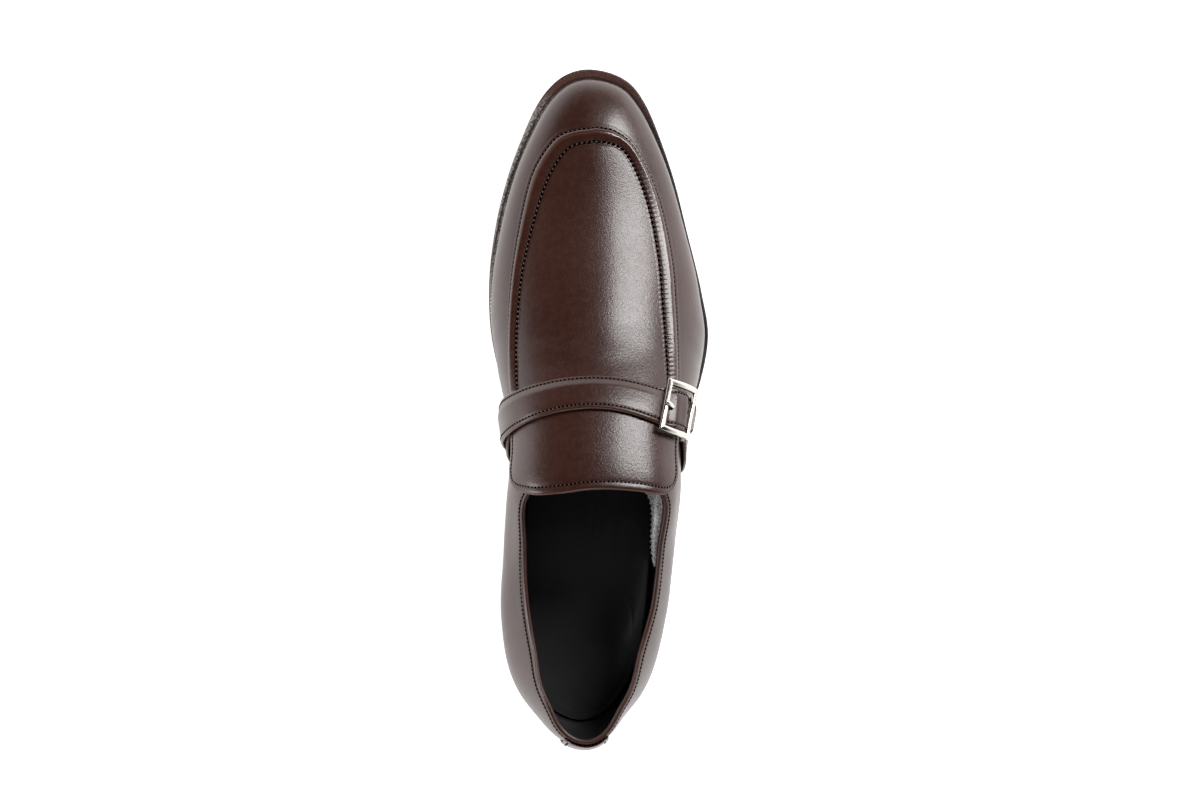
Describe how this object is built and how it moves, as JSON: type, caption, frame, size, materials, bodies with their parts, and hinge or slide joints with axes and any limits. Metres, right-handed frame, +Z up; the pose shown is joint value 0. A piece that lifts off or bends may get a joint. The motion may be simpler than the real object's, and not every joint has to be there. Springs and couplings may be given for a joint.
{
  "type": "monk strap shoe",
  "caption": "Right-foot dress slip-on with a raised seam round the vamp, a tongue flap and a strap over the instep closed by a rectangular metal buckle on the outer side.",
  "frame": {"origin": "under the middle of the shoe's box, on the floor", "axes": "+Y towards the toe, +X towards the outer (lateral) side of the right foot, +Z up"},
  "size_m": [0.1032, 0.3092, 0.0986],
  "materials": {
    "upper_leather": "smooth polished calf, dark brown",
    "lining_leather": "smooth black lining leather",
    "sole_leather": "dark stained edge, satin",
    "heel_rubber": "matt black rubber",
    "nickel": "polished nickel"
  },
  "bodies": {
    "root": {"upper": "upper_leather", "apron_bead": "upper_leather", "side_tab_medial": "upper_leather", "side_tab_lateral": "upper_leather", "strap": "upper_leather", "tongue": "upper_leather", "heel_tab": "upper_leather", "insole": "lining_leather", "outsole": "sole_leather", "welt": "sole_leather", "heel_stack": "sole_leather", "heel_lift": "heel_rubber", "buckle_frame": "nickel", "buckle_prong": "nickel"}
  },
  "joints": []
}
